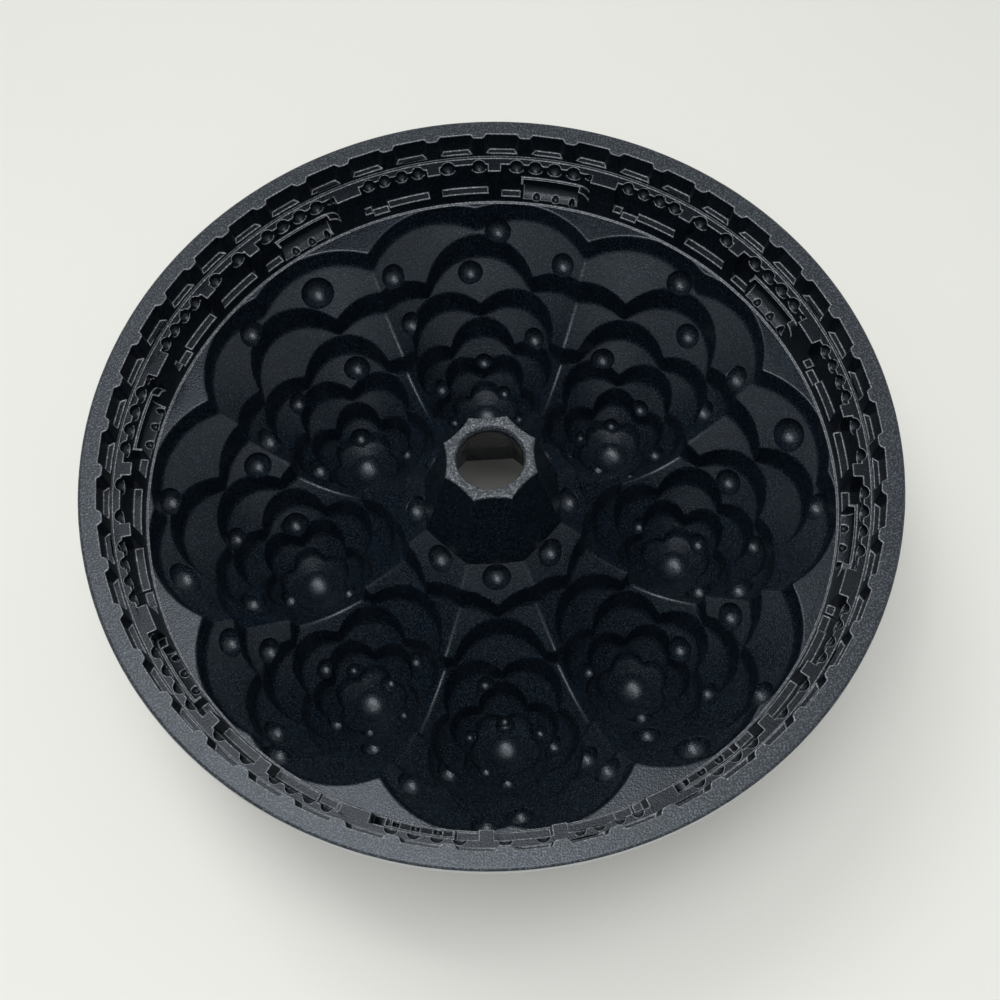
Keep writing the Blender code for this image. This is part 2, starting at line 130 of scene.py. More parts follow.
def bmesh_of(obj):
    bm = bmesh.new()
    bm.from_mesh(obj.data)
    return bm


def combine(obj, tool, operation):
    """Apply a boolean at once and remove its tool."""
    modifier = obj.modifiers.new(operation.lower(), "BOOLEAN")
    modifier.operation = operation
    modifier.solver = "EXACT"
    modifier.object = tool
    graph = bpy.context.evaluated_depsgraph_get()
    mesh = bpy.data.meshes.new_from_object(obj.evaluated_get(graph))
    obj.modifiers.clear()
    obj.data = mesh
    bpy.data.objects.remove(tool, do_unlink=True)


def loft(rings, ring_closed=False):
    """Skin rings of points by extruding one ring of edges; the ends are capped unless it closes."""
    bm = bmesh.new()
    slot = bm.verts.layers.int.new("slot")
    first = bmesh.ops.create_circle(bm, segments=len(rings[0]), radius=1)["verts"]
    for index, vert in enumerate(first):
        vert[slot] = index
        vert.co = rings[0][index]
    edges = list(bm.edges)
    if not ring_closed:
        bmesh.ops.contextual_create(bm, geom=edges)
    start = edges
    for ring in rings[1:]:
        made = bmesh.ops.extrude_edge_only(bm, edges=edges)["geom"]
        for vert in made:
            if isinstance(vert, bmesh.types.BMVert):
                vert.co = ring[vert[slot]]
        edges = [edge for edge in made if isinstance(edge, bmesh.types.BMEdge)]
    if ring_closed:
        bmesh.ops.bridge_loops(bm, edges=start + edges)
    else:
        bmesh.ops.contextual_create(bm, geom=edges)
    return bm


def shade(obj, material):
    """Smooth shading with sharp corners kept, and normals that favour the large faces."""
    obj.data.materials.clear()
    obj.data.materials.append(material)
    obj.data.shade_smooth()
    obj.data.set_sharp_from_angle(angle=math.radians(SHARP_ANGLE))
    modifier = obj.modifiers.new("even_normals", "WEIGHTED_NORMAL")
    modifier.keep_sharp = True


def hold(obj, material, slot, *nodes):
    """Give a finished piece its finish, its body and the CAD nodes that it stands for. Its slot is not used."""
    shade(obj, material)
    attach(obj, "root")
    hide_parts(*nodes)
    triangles = sum(len(face.vertices) - 2 for face in obj.data.polygons)
    print(obj.name, triangles, "triangles")


def other_finish(obj, material, chosen):
    """Give the faces that a test picks out another finish."""
    obj.data.materials.append(material)
    for face in obj.data.polygons:
        if chosen(face):
            face.material_index = len(obj.data.materials) - 1


print("edges sharper than", SHARP_ANGLE, "degrees stay sharp")

# %% [markdown]
# The casting has one finish, a satin non-stick coat over cast aluminium, whose fine grain shows as
# specks where light grazes it. Five materials stand for it, lit and shaded copies of that one coat
# with light and shade painted into their colours. The rim's coat is painted a little lighter: painted
# light on the flange. The cups' coat is painted darker and faintly blue: painted shade. The wall's
# pockets are painted darkest and least glossy: painted shade in the recesses. The top of the centre
# tube is painted paler: painted light on its upward faces. The wall's corners that face upwards are
# painted light, so each one draws a fine light line: a painted highlight. The coat bends light less
# than bare lacquer would, so it stays deep black where it mirrors a dark place. The flange's outer
# edge is painted as a thin bright line of bare metal: a painted highlight along the rim's edge.

# %% Coat materials


def linear(hex_colour):
    """Turn an sRGB hex colour into the linear values that a shader takes."""
    channels = [int(hex_colour[i:i + 2], 16) / 255 for i in (0, 2, 4)]
    return [c / 12.92 if c <= 0.04045 else ((c + 0.055) / 1.055) ** 2.4 for c in channels] + [1.0]


def add_node(tree, kind, links=None, **settings):
    """Add a node; settings name its inputs or properties, links map its inputs to other sockets."""
    node = tree.nodes.new(kind)
    for name, value in settings.items():
        if hasattr(node, name):
            setattr(node, name, value)
        else:
            node.inputs[name.replace("_", " ")].default_value = value
    for name, socket in (links or {}).items():
        tree.links.new(socket, node.inputs[name])
    return node


# Grit of the blasted casting under the coat; the real one is finer and wouldn't show in the render
GRAIN = 0.55 * MM
GRAIN_DARK = 0.48
GRAIN_LIGHT = 0.70
MOTTLE = 6.0 * MM
GLOSS_CHANGE = 0.05
COAT_IOR = 1.42
POCKET_IOR = 1.33
COAT_TINT = "EBF4FF"


def coated_aluminium(name, dark, light, roughness, grain_depth, ior=COAT_IOR):
    """A satin non-stick coat on cast aluminium: fine specks, slight mottling and a grainy surface."""
    material = bpy.data.materials.new(name)
    material.use_nodes = True
    tree = material.node_tree
    shader = tree.nodes["Principled BSDF"]
    shader.inputs["Metallic"].default_value = 0.0
    shader.inputs["IOR"].default_value = ior
    shader.inputs["Specular Tint"].default_value = linear(COAT_TINT)
    place = add_node(tree, "ShaderNodeTexCoord").outputs["Object"]
    grain = add_node(tree, "ShaderNodeTexNoise", {"Vector": place}, Scale=1 / GRAIN, Detail=3.0)
    mottle = add_node(tree, "ShaderNodeTexNoise", {"Vector": place}, Scale=1 / MOTTLE, Detail=2.0)
    colour = add_node(tree, "ShaderNodeValToRGB", {"Fac": grain.outputs["Fac"]})
    colour.color_ramp.elements[0].position = GRAIN_DARK
    colour.color_ramp.elements[0].color = linear(dark)
    colour.color_ramp.elements[1].position = GRAIN_LIGHT
    colour.color_ramp.elements[1].color = linear(light)
    rough = add_node(tree, "ShaderNodeMapRange", {"Value": mottle.outputs["Fac"]})
    rough.inputs["To Min"].default_value = roughness - GLOSS_CHANGE
    rough.inputs["To Max"].default_value = roughness + GLOSS_CHANGE
    bump = add_node(tree, "ShaderNodeBump", {"Height": grain.outputs["Fac"]}, Distance=grain_depth)
    tree.links.new(colour.outputs["Color"], shader.inputs["Base Color"])
    tree.links.new(rough.outputs["Result"], shader.inputs["Roughness"])
    tree.links.new(bump.outputs["Normal"], shader.inputs["Normal"])
    return material


# Pitch and depth of the fine rings round the pan on the bright edge metal, and how little they change along a
# ring
CUT_RING = 0.25 * MM
CUT_DEPTH = 0.02 * MM
ALONG_CUT = 0.02


def highlight_metal(name):
    """Bright metal with fine rings round the pan in its gloss and bump: a painted highlight on the flange's
    outer edge.
    """
    material = bpy.data.materials.new(name)
    material.use_nodes = True
    tree = material.node_tree
    shader = tree.nodes["Principled BSDF"]
    shader.inputs["Metallic"].default_value = 1.0
    shader.inputs["Base Color"].default_value = linear("B0B4B6")
    place = add_node(tree, "ShaderNodeTexCoord").outputs["Object"]
    flat = add_node(tree, "ShaderNodeVectorMath", {0: place}, operation="MULTIPLY")
    flat.inputs[1].default_value = (ALONG_CUT, ALONG_CUT, 1.0)
    stretched = {"Vector": flat.outputs["Vector"]}
    rings = add_node(tree, "ShaderNodeTexNoise", stretched, Scale=1 / CUT_RING, Detail=2.0)
    rough = add_node(tree, "ShaderNodeMapRange", {"Value": rings.outputs["Fac"]})
    rough.inputs["To Min"].default_value = 0.28
    rough.inputs["To Max"].default_value = 0.44
    bump = add_node(tree, "ShaderNodeBump", {"Height": rings.outputs["Fac"]}, Distance=CUT_DEPTH)
    tree.links.new(rough.outputs["Result"], shader.inputs["Roughness"])
    tree.links.new(bump.outputs["Normal"], shader.inputs["Normal"])
    return material


# The rim's coat is the same coat painted lighter: painted light on the flange.
rim_coat = coated_aluminium("coated_cast_aluminium_rim_painted_light", "161A1E", "4C5259", 0.33, 0.12 * MM)
# The cups' coat is the same coat painted darker and faintly blue: painted shade.
cup_coat_painted_shade = coated_aluminium("coated_cast_aluminium_cups_painted_shade", "03070D", "202C38", 0.27, 0.13 * MM)
# The pockets' coat is painted darkest, with a lower IOR that dims its gloss: painted shade in the wall's
# recesses.
pocket_coat_painted_shade = coated_aluminium("coated_cast_aluminium_pockets_painted_shade", "020407", "161D25", 0.30, 0.13 * MM,
                               POCKET_IOR)
# The tube top's coat is painted paler: painted light on its upward faces.
tube_top_painted_light_coat = coated_aluminium("coated_cast_aluminium_tube_top_painted_light", "23272B", "71767B", 0.34, 0.10 * MM)
# The corners' coat is painted light: painted highlights on the wall's upward rounded corners.
corner_painted_highlight_coat = coated_aluminium("coated_cast_aluminium_corners_painted_highlight", "4E5256", "92969A", 0.30, 0.05 * MM)
# A bright metal band on the flange's outer edge: a painted highlight.
edge_painted_highlight = highlight_metal("edge_metal_painted_highlight")
finishes = (rim_coat, cup_coat_painted_shade, pocket_coat_painted_shade, tube_top_painted_light_coat, corner_painted_highlight_coat, edge_painted_highlight)
print("materials", [finish.name for finish in finishes])

# %% [markdown]
# A tree cup is a stack of six tiers. Each tier's outline has five round lobes, turned half a lobe from
# the tier above. Its wall drops almost upright to a floor that is part of a cone, and the next tier's
# outline is cut into that cone, so its edge rises towards the lobes. The space inside
# the cup is one closed form, made by extruding a ring of edges down the section, and is cut out of the
# cup's block. Its section is worked out at each angle with its corners rounded, because the bright thin
# lines on the real pan are light caught by those rounded edges.

# %% The tree's tiers
LOBES = 5
HALF_LOBE = math.pi / LOBES
TREE_CIRCLE = 65.3 * MM
DECK_DEPTH = 25.0 * MM
PLUG_RADIUS = 70.0 * MM
PLUG_TOP_DEPTH = 18.0 * MM
EDGE_ROUND = 0.7 * MM
FOOT_FILLET = 1.3 * MM
CUSP_ROUND = 0.8 * MM
LEAST_FLOOR = 0.05 * MM
ARC_STEPS = 4
MOST_ROUND = 0.45
FLOOR_STEPS = 4
TURN_STEPS = 16
TURN_EASE = 0.85
# Lobe radius, cusp radius, depth of the edge at the cusp, draft of the wall at the lobe and at the cusp
TIERS = ((47.8, 43.2, 25.0, 1.1, 1.3),
         (40.5, 32.2, 45.05, 1.4, 0.1),
         (31.9, 25.7, 60.9, 1.8, 0.1),
         (25.3, 19.7, 74.45, 2.0, 0.1),
         (18.8, 14.0, 87.3, 1.4, 0.1),
         (13.1, 10.0, 99.0, 1.3, 0.2))
FLOOR_SLOPE = 0.9
LAST_SLOPE = 0.65
TIP_RADIUS = 6.6 * MM
TIP_DEPTH = 103.0 * MM
TIP_BOWL = 3.0 * MM
TIP_STEPS = 12
DISH_POWER = 2.5


def lobed_radius(angle, lobe, cusp, lobe_outward):
    """Radius of a five-lobed outline of round arcs, with a small round at each cusp."""
    start = 0 if lobe_outward else HALF_LOBE
    swing = abs((angle - start + HALF_LOBE) % (2 * HALF_LOBE) - HALF_LOBE)
    soft = CUSP_ROUND / lobe
    short = HALF_LOBE - swing
    if short < soft:
        swing = HALF_LOBE - (soft / 2 + short ** 2 / (2 * soft))
    arc_centre = (lobe ** 2 - cusp ** 2) / (2 * (lobe - cusp * math.cos(HALF_LOBE)))
    arc_radius = lobe - arc_centre
    return arc_centre * math.cos(swing) + math.sqrt(arc_radius ** 2 - (arc_centre * math.sin(swing)) ** 2)


def tier_edge(tier, angle, at_foot=False):
    """Radius of a tier's upper edge, or of its wall's foot, at this angle about the tree."""
    lobe, cusp, _, lobe_draft, cusp_draft = (value * MM for value in TIERS[tier])
    if at_foot:
        lobe, cusp = lobe - lobe_draft, cusp - cusp_draft
    return lobed_radius(angle, lobe, cusp, tier % 2 == 1)


def cone_depth(tier, radius):
    """Depth at this radius of the surface that a tier's outline is cut into: the deck, then cones."""
    if tier == 0:
        return DECK_DEPTH
    if tier == len(TIERS):
        return TIP_DEPTH - LAST_SLOPE * (radius - TIP_RADIUS)
    _, cusp, depth, _, _ = (value * MM for value in TIERS[tier])
    return depth - FLOOR_SLOPE * (radius - cusp)


def cup_section(angle):
    """Corners of the cavity's section at this angle: radius, depth and reach of the rounding."""
    corners = [(PLUG_RADIUS, DECK_DEPTH, 0)]
    for tier in range(len(TIERS)):
        edge = tier_edge(tier, angle)
        foot = tier_edge(tier, angle, at_foot=True)
        if tier + 1 < len(TIERS):
            foot = max(foot, tier_edge(tier + 1, angle) + LEAST_FLOOR)
        corners.append((edge, cone_depth(tier, edge), EDGE_ROUND))
        corners.append((foot, cone_depth(tier + 1, foot), FOOT_FILLET))
    corners.append((TIP_RADIUS, TIP_DEPTH, 0))
    return corners


def rounded_section(corners):
    """Points along a section, with each corner replaced by a short curve and each floor divided."""
    points = [Vector(corners[0][:2])]
    for before, corner, after in zip(corners, corners[1:], corners[2:]):
        here = Vector(corner[:2])
        back, ahead = Vector(before[:2]) - here, Vector(after[:2]) - here
        start = here + back * min(corner[2] / back.length, MOST_ROUND)
        end = here + ahead * min(corner[2] / ahead.length, MOST_ROUND)
        last = points[-1]
        for step in range(1, FLOOR_STEPS):
            points.append(last.lerp(start, step / FLOOR_STEPS))
        for step in range(ARC_STEPS + 1):
            t = step / ARC_STEPS
            points.append(start * (1 - t) ** 2 + here * 2 * t * (1 - t) + end * t ** 2)
    points.append(Vector(corners[-1][:2]))
    return points


def tip_bowl():
    """Points down the dish at the tree's tip, after its edge; the dish levels out at its middle."""
    shares = [1 - step / TIP_STEPS for step in range(1, TIP_STEPS)]
    return [Vector((TIP_RADIUS * share, TIP_DEPTH + TIP_BOWL * (1 - share ** DISH_POWER)))
            for share in shares]


def turn_angles():
    """Angles about the tree's axis, closer together near the cusps."""
    angles = []
    for half in range(2 * LOBES):
        for step in range(TURN_STEPS):
            share = step / TURN_STEPS
            eased = share - TURN_EASE * math.sin(math.tau * share) / math.tau
            angles.append(HALF_LOBE * (half + eased))
    return angles


def tree_plug():
    """The space inside one cup, with the air above the deck, as a closed form."""
    angles = turn_angles()
    sections = [rounded_section(cup_section(angle)) + tip_bowl() for angle in angles]
    rings = [[on_circle(PLUG_RADIUS, angle, PLUG_TOP_DEPTH, TREE_CIRCLE) for angle in angles]]
    for level in range(len(sections[0])):
        rings.append([on_circle(section[level][0], angle, section[level][1], TREE_CIRCLE)
                      for section, angle in zip(sections, angles)])
    return new_object("tree_plug", loft(rings))


print("tree cup's section outwards:", [(round(r / MM, 1), round(d / MM, 1)) for r, d, _ in cup_section(0)])

# %% [markdown]
# The outside of a cup follows its tiers a wall's thickness away, because the metal is cast to an even
# thickness. The cup is that outer form joined to the deck, trimmed to one eighth of the pan, with the
# cavity cut out. Round ornaments are pressed into the tiers' floors; each is a ball cutter with a small
# chamfer at its mouth, and the outer form swells behind it so that the wall stays whole.

# %% The cup's outer form
WALL = 3.0 * MM
SHELL_ROUND = 2.0 * MM
SHELL_TOP_DEPTH = 24.5 * MM
DECK_BLOCK_TOP = 24.0 * MM
DECK_UNDERSIDE = DECK_DEPTH + WALL
FOOT_RADIUS = 6.0 * MM
MEAN_SLOPE = 45
DECK_EDGE = 110.3 * MM
SKIRT_EDGE = 117.0 * MM
WALL_FACETS = 45
DECK_FACETS = 96
TUBE_FACE = 21.9 * MM


def tree_shell():
    """The outer form of one cup, from just above the deck's underside to its foot."""
    drop = WALL * math.tan(math.radians(MEAN_SLOPE / 2))
    angles = turn_angles()
    sections = []
    for angle in angles:
        corners = [(radius + WALL, depth + drop, SHELL_ROUND) for radius, depth, _ in cup_section(angle)[1:]]
        corners[0] = (corners[0][0], SHELL_TOP_DEPTH, 0)
        sections.append(rounded_section(corners + [(FOOT_RADIUS, RIM_TOP, 0)]))
    rings = [[on_circle(section[level][0], angle, section[level][1], TREE_CIRCLE)
              for section, angle in zip(sections, angles)] for level in range(len(sections[0]))]
    return new_object("tree_shell", loft(rings))


def deck_block():
    bm = bmesh.new()
    depth = DECK_UNDERSIDE - DECK_BLOCK_TOP
    middle = height((DECK_UNDERSIDE + DECK_BLOCK_TOP) / 2)
    radius = DECK_EDGE + WALL
    bmesh.ops.create_cone(bm, cap_ends=True, segments=DECK_FACETS, radius1=radius, radius2=radius, depth=depth,
                          matrix=Matrix.Translation((0, 0, middle)))
    return new_object("deck_block", bm)


def eighth_of_pan():
    """A wedge one tree's pitch wide: inside the wall above the deck's underside, wider below it."""
    half = PITCH / 2
    slope = math.tan(half)
    rings = []
    for depth, edge in ((-WALL, DECK_EDGE), (DECK_UNDERSIDE, DECK_EDGE), (DECK_UNDERSIDE, SKIRT_EDGE),
                        (RIM_TOP + WALL, SKIRT_EDGE)):
        ring = [Vector((TUBE_FACE, side * TUBE_FACE * slope, height(depth))) for side in (-1, 1)]
        ring += [on_circle(edge, half - PITCH * i / WALL_FACETS, depth) for i in range(WALL_FACETS + 1)]
        rings.append(ring)
    return new_object("eighth_of_pan", loft(rings))


print("cup wall", round(WALL / MM, 1), "mm, deck's edge at", round(DECK_EDGE / MM, 1), "mm")

# %% [markdown]
# The ornaments differ from tree to tree. Three designs stand for them: two arrangements, and the first
# of them again with one ball more. Each ball is placed by its distance from the tree's axis and its
# angle about it, and faces the way the floor there slopes.

# %% Ball ornaments
BALL_CHAMFER = 0.35 * MM
BALL_STEPS = 28
BALL_RINGS = 8
BALL_LIFT = 6.0 * MM
LUMP_WALL = 2.4 * MM
# Distance from the tree's axis, angle about it in degrees from the pan's outward direction, radius
FIRST_DESIGN = ((41.6, -10.3, 4.6), (39.5, 50.3, 4.6), (34.8, 5.3, 4.4), (30.3, 57.0, 4.4),
                (24.4, -51.2, 4.3), (15.5, 0.0, 3.5), (16.8, 75.0, 3.6), (11.0, -40.5, 2.9),
                (9.8, 178.0, 2.9), (18.9, -162.0, 3.0), (12.7, -107.0, 2.4), (12.8, 107.0, 2.6))
SECOND_DESIGN = ((40.4, -29.2, 5.6), (41.1, 10.2, 4.6), (31.6, 61.5, 4.7), (25.6, -44.0, 4.6),
                 (25.2, 15.5, 3.8), (17.9, 71.0, 4.6), (11.4, -34.5, 3.9), (16.0, -143.0, 3.2))
EXTRA_BALL = (39.6, -48.4, 4.4)
SKIRT_BALL = (39.9, 180.0, 4.6)


def section_depth(radius, angle):
    """Depth of the cavity's surface at this place about the tree's axis."""
    corners = cup_section(angle)
    for (outer, upper, _), (inner, lower, _) in zip(corners, corners[1:]):
        if outer >= radius >= inner:
            share = (outer - radius) / max(outer - inner, LEAST_FLOOR)
            return upper + (lower - upper) * share
    return TIP_DEPTH + TIP_BOWL


def floor_frame(radius, degrees):
    """A matrix at the cavity's surface whose Z axis points out of the metal."""
    angle = math.radians(degrees)
    spots = []
    for step_radius, step_angle in ((0, 0), (1.0 * MM, 0), (0, 1.0 * MM / radius)):
        r, a = radius + step_radius, angle + step_angle
        spots.append(on_circle(r, a, section_depth(r, a), TREE_CIRCLE))
    normal = (spots[1] - spots[0]).cross(spots[2] - spots[0]).normalized()
    return Matrix.Translation(spots[0]) @ normal.to_track_quat("Z", "Y").to_matrix().to_4x4()


def ball_cutter(distance, degrees, radius):
    """A ball sunk to its middle in the floor, with a chamfered mouth."""
    radius *= MM
    mouth = radius + 2 * BALL_CHAMFER
    bm = bmesh.new()
    section = [(0, -radius)]
    for i in range(1, BALL_RINGS + 1):
        swing = 0.5 * math.pi * i / BALL_RINGS
        section.append((radius * math.sin(swing), -radius * math.cos(swing)))
    section += [(mouth, 2 * BALL_CHAMFER), (mouth, BALL_LIFT), (0, BALL_LIFT)]
    verts = [bm.verts.new((x, 0, z)) for x, z in section]
    edges = [bm.edges.new(pair) for pair in zip(verts, verts[1:])]
    bmesh.ops.spin(bm, geom=verts + edges, cent=(0, 0, 0), axis=(0, 0, 1), angle=math.tau,
                   steps=BALL_STEPS, use_merge=True)
    bmesh.ops.remove_doubles(bm, verts=bm.verts, dist=0.001 * MM)
    bmesh.ops.transform(bm, matrix=floor_frame(distance * MM, degrees), verts=bm.verts)
    return new_object("ball_cutter", bm)


def push_out(obj, balls):
    """Swell the outer form behind each ball, which keeps the wall whole there."""
    for distance, degrees, radius in balls:
        centre = floor_frame(distance * MM, degrees).translation
        reach = radius * MM + LUMP_WALL
        for vert in obj.data.vertices:
            offset = vert.co - centre
            if offset.length < reach:
                vert.co = centre + offset.normalized() * reach


print("balls in the designs:", len(FIRST_DESIGN) + 1, len(FIRST_DESIGN) + 2, len(SECOND_DESIGN) + 1)

# %% [markdown]
# Where two cups meet, their cavities leave a ridge exactly on the plane between them. A cast ridge is
# never knife-sharp, so the mesh is cut a few times close to that plane and the points between are
# lowered along a curve that turns level at the plane.

# %% Round the ridges between the trees
RIDGE_ROUND = 0.8 * MM
RIDGE_CUTS = 4
STEEPEST = 2.0


def round_ridges(obj):
    """Lower the surface near both side planes so that neighbouring cups meet in a rounded ridge."""
    bm = bmesh_of(obj)
    for side in (-1, 1):
        away = Vector((math.sin(PITCH / 2), -side * math.cos(PITCH / 2), 0))
        for cut in range(1, RIDGE_CUTS + 1):
            offset = away * RIDGE_ROUND * cut / RIDGE_CUTS
            bmesh.ops.bisect_plane(bm, geom=bm.verts[:] + bm.edges[:] + bm.faces[:], dist=0.001 * MM,
                                   plane_co=offset, plane_no=away)
        moves = []
        for vert in bm.verts:
            distance = vert.co.dot(away)
            if distance > RIDGE_ROUND * 0.999:
                continue
            normal = Vector()
            for face in vert.link_faces:
                if abs(face.normal.dot(away)) < 0.999:
                    normal += face.normal * face.calc_area()
            if normal.length == 0:
                continue
            normal.normalize()
            outward = (normal - away * normal.dot(away)).normalized()
            slope = normal.dot(away) / max(normal.dot(outward), 1 / STEEPEST)
            fall = max(min(slope, STEEPEST), -STEEPEST) * (RIDGE_ROUND - distance) ** 2 / (2 * RIDGE_ROUND)
            moves.append((vert, outward * fall))
        for vert, move in moves:
            vert.co -= move
    bm.to_mesh(obj.data)
    bm.free()


def make_cup(name, balls):
    """One finished cup, standing in the pan's outward +X direction."""
    cup = tree_shell()
    cup.name = name
    push_out(cup, balls)
    combine(cup, deck_block(), "UNION")
    combine(cup, eighth_of_pan(), "INTERSECT")
    combine(cup, tree_plug(), "DIFFERENCE")
    for ball in balls:
        combine(cup, ball_cutter(*ball), "DIFFERENCE")
    round_ridges(cup)
    return cup


def set_cup(design, tree, mirrored):
    """Copy a finished cup, mirror it if need be, and turn it to its place round the pan."""
    bm = bmesh_of(design)
    if mirrored:
        bmesh.ops.scale(bm, vec=(1, -1, 1), verts=bm.verts)
        bmesh.ops.reverse_faces(bm, faces=bm.faces)
    bmesh.ops.rotate(bm, cent=(0, 0, 0), matrix=Matrix.Rotation(PITCH * tree, 3, "Z"), verts=bm.verts)
    mesh = bpy.data.meshes.new(f"tree_cup_piece_{tree + 1}")
    bm.to_mesh(mesh)
    bm.free()
    cup = bpy.data.objects.new(mesh.name, mesh)
    bpy.context.collection.objects.link(cup)
    # Each cup takes the darker cup coat: painted shade.
    hold(cup, cup_coat_painted_shade, "inner_coat", f"tree_cup_{tree + 1}")


# %% [markdown]
# Making a cup takes many cuts, so each design is made only once. Every tree is a turned copy of one of
# the three designs, mirrored where its neighbour's balls lie the other way round.

# %% Set the eight cups
first_cup = make_cup("first_cup", FIRST_DESIGN + (SKIRT_BALL,))
fuller_cup = make_cup("fuller_cup", FIRST_DESIGN + (EXTRA_BALL, SKIRT_BALL))
second_cup = make_cup("second_cup", SECOND_DESIGN + (SKIRT_BALL,))
# Round the pan from +X: the design and whether it is mirrored
CUP_ORDER = ((second_cup, True), (first_cup, True), (fuller_cup, False), (second_cup, False)) * 2
for tree, (design, mirrored) in enumerate(CUP_ORDER):
    set_cup(design, tree, mirrored)
for design in (first_cup, fuller_cup, second_cup):
    bpy.data.objects.remove(design, do_unlink=True)

# %% [markdown]
# The wall above the cups is one ring of eight equal stretches, each with six sleepers and one toy
# train. In the mould everything is sunk and upside down, because the cake is turned out the other way:
# the sleepers are pockets behind the flange's inner edge, and the train hangs below the ledge with its
# wheels at the top. One stretch is made as a solid: its section is spun through an eighth of a turn,
# the pockets are cut, and every corner that the cuts leave is bevelled as a casting's would be.

# %% One stretch of the wall
STRETCH_START = -23.5
STRETCH_END = STRETCH_START + 360 / TREES
LONGEST_FACET = 1.2
TOOTH_TOP = 119.5
RIM_CORNER = 1.2
RIM_STEPS = 3
OUTER_RADIUS = 126.85
# Radius and depth in mm of the upper section, flange and sleepers, and of the lower one, the train
UPPER_SECTION = ((TOOTH_TOP, 0), (118.6, 9), (122.7, 9), (123.8, 3.2), (OUTER_RADIUS, 3.2))
LOWER_SECTION = ((118.6, 9), (118.5, 10), (113.1, 10), (111.1, 25), (110.3, 25), (110.3, 28),
                 (118.3, 28), (122.7, 9))
# Six sleepers: the angles between them are the same, and so are the facets round each one's middle
SLEEPER_FIRST = -19.75
SLEEPER_STEP = 7.5
SLEEPERS = 6
SLEEPER_FACETS = (-3.35, -1.2, 0, 1.2, 3.35)
# Half width, radius and depth of a sleeper pocket's corners: top back and front, foot back and front
SLEEPER_CORNERS = ((5.35, 121.05, -1.0), (8.0, 116.0, -1.0), (4.25, 120.6, 7.6), (6.9, 116.0, 7.6))
# Train pockets, each as a run of angles with the floor's depth there. Pockets that touch are one run,
# because two cuts with faces in the same place leave a torn mesh.
POCKETS = (((-20.4, 18.6), (-20.0, 17.4), (-19.5, 16.6), (-18.9, 16.1), (-17.8, 15.8), (-8.2, 15.8),
            (-8.1, 22.2), (-4.7, 22.2)),
           ((-2.4, 20.7), (5.8, 20.7)),
           ((8.1, 20.7), (15.5, 20.7), (15.6, 22.4), (18.4, 22.4), (18.5, 20.7), (20.0, 20.7)))
POCKET_BACK = ((116.1, 9.0), (115.8, 13.0), (114.3, 20.7))
POCKET_FRONT = 106.0
# Start and end angle, radius and depth of the middle, size across from the middle
BOILER = (-18.4, -8.6, 111.5, 18.8, 4.1)
BOILER_FACETS = 20
# Angle, reach, width and height of the domes and the chimney below the boiler
DOMES = ((-11.0, 1.5, 1.4, 1.6), (-14.4, 1.5, 1.4, 1.6), (-17.4, 1.5, 1.1, 2.6))
DOME_PLACE = (112.2, 22.4)
WHEELS = ((-7.3, 2.6), (-10.5, 2.6), (-13.8, 2.6), (-17.1, 2.6), (-19.9, 1.5), (18.2, 2.3), (15.4, 2.3),
          (12.4, 2.4), (9.6, 2.4), (4.4, 2.6), (-0.9, 2.6))
WHEEL_PLACE = (115.8, 11.5)
WHEEL_REACH = 2.4
PINHOLE = 0.01 * MM


def at(radius, degrees, depth):
    """A point from a radius and depth in mm and an angle in degrees."""
    return on_circle(radius * MM, math.radians(degrees), depth * MM)


def filled(angles):
    """Add angles between these so that no facet is wider than the longest."""
    angles = sorted(set(angles) | {STRETCH_START, STRETCH_END})
    every = []
    for start, end in zip(angles, angles[1:]):
        parts = max(1, math.ceil((end - start) / LONGEST_FACET - 0.001))
        every += [start + (end - start) * part / parts for part in range(parts)]
    return every + [angles[-1]]


def wall_stretch(section, angles):
    """Carry the wall's section through an eighth of a turn and close both ends."""
    return new_object("wall_stretch", loft([[at(r, degrees, d) for r, d in section] for degrees in angles]))


def carve(stretch, cutter):
    """Cut, then close the pinholes that a cut can leave, so that the next cut starts from a solid."""
    combine(stretch, cutter, "DIFFERENCE")
    bm = bmesh_of(stretch)
    bmesh.ops.remove_doubles(bm, verts=bm.verts, dist=PINHOLE)
    bmesh.ops.dissolve_degenerate(bm, edges=bm.edges, dist=PINHOLE)
    bmesh.ops.holes_fill(bm, edges=[edge for edge in bm.edges if len(edge.link_faces) == 1])
    bmesh.ops.recalc_face_normals(bm, faces=bm.faces)
    bm.to_mesh(stretch.data)
    bm.free()


def upper_stretch():
    """The flange and the sleepers, before they are parted."""
    section = list(UPPER_SECTION)
    for step in range(RIM_STEPS + 1):
        swing = math.radians(90 * step / RIM_STEPS)
        radius = OUTER_RADIUS - RIM_CORNER * (1 - math.cos(swing))
        section.append((radius, RIM_CORNER * (1 - math.sin(swing))))
    middles = [SLEEPER_FIRST + SLEEPER_STEP * i for i in range(SLEEPERS)]
    angles = {STRETCH_START, STRETCH_END} | {middle + facet for middle in middles for facet in SLEEPER_FACETS}
    stretch = wall_stretch(section, sorted(angles))
    for middle in middles:
        carve(stretch, sleeper_cutter(middle))
    return stretch


def lower_stretch():
    """The ledge and the train."""
    ends = [pocket[end][0] for pocket in POCKETS for end in (0, -1)]
    stretch = wall_stretch(LOWER_SECTION, filled(ends))
    cutters = [pocket_cutter(pocket) for pocket in POCKETS] + [boiler_cutter(*BOILER)]
    cutters += [round_cutter(degrees, DOME_PLACE, size) for degrees, *size in DOMES]
    cutters += [round_cutter(degrees, WHEEL_PLACE, (WHEEL_REACH, size, size)) for degrees, size in WHEELS]
    for cutter in cutters:
        carve(stretch, cutter)
    return stretch


